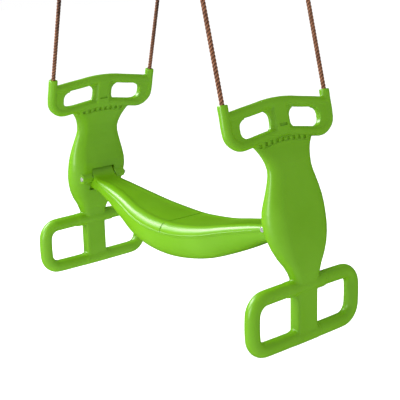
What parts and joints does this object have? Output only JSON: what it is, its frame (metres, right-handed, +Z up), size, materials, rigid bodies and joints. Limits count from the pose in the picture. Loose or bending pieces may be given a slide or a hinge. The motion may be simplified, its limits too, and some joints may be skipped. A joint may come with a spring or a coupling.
{
  "type": "glider swing",
  "caption": "Back-to-back glider swing: two moulded end uprights with hand and foot loops, a curved seat bolted between them, and rope hangers.",
  "frame": {"origin": "middle between the four hanging links, at the height of their bars", "axes": "+X along the seat from the left upright to the right one, +Y across the seat, along the axes it swings about, +Z up"},
  "size_m": [0.9742, 0.424, 0.9777],
  "materials": {
    "green_plastic": "smooth moulded polyethylene",
    "zinc_steel": "zinc plated",
    "rope": "three-strand twisted rope"
  },
  "bodies": {
    "links": {"left_links": "zinc_steel", "right_links": "zinc_steel"},
    "left_ropes": {"left_front_rope": "rope", "left_rear_rope": "rope", "left_eyes": "rope", "left_thimbles": "zinc_steel", "left_ferrules": "zinc_steel"},
    "glider": {"left_upright": "green_plastic", "right_upright": "green_plastic", "seat": "green_plastic", "seat_bolts": "zinc_steel", "bolt_washers": "zinc_steel", "bolt_nuts": "zinc_steel", "spacer_tubes": "zinc_steel", "rope_tails": "rope", "rope_stops": "zinc_steel", "stop_washers": "zinc_steel"},
    "right_ropes": {"right_front_rope": "rope", "right_rear_rope": "rope", "right_eyes": "rope", "right_thimbles": "zinc_steel", "right_ferrules": "zinc_steel"}
  },
  "joints": [
    {"name": "swing", "type": "hinge", "parent": "links", "child": "left_ropes", "pos_m": [-0.288, 0, 0], "axis": [0, 1, 0], "range_deg": [-10, 10]},
    {"name": "left_sleeves", "type": "hinge", "parent": "left_ropes", "child": "glider", "pos_m": [-0.368, 0, -0.32], "axis": [0, 1, 0], "range_deg": [-8, 8]},
    {"name": "right_sleeves", "type": "hinge", "parent": "glider", "child": "right_ropes", "pos_m": [0.368, 0, -0.32], "axis": [0, 1, 0], "range_deg": [-8, 8]}
  ],
  "couplings": [
    {"joint": "left_sleeves", "follows": "swing", "ratio": -0.78261},
    {"joint": "right_sleeves", "follows": "swing", "ratio": 0.78261}
  ]
}
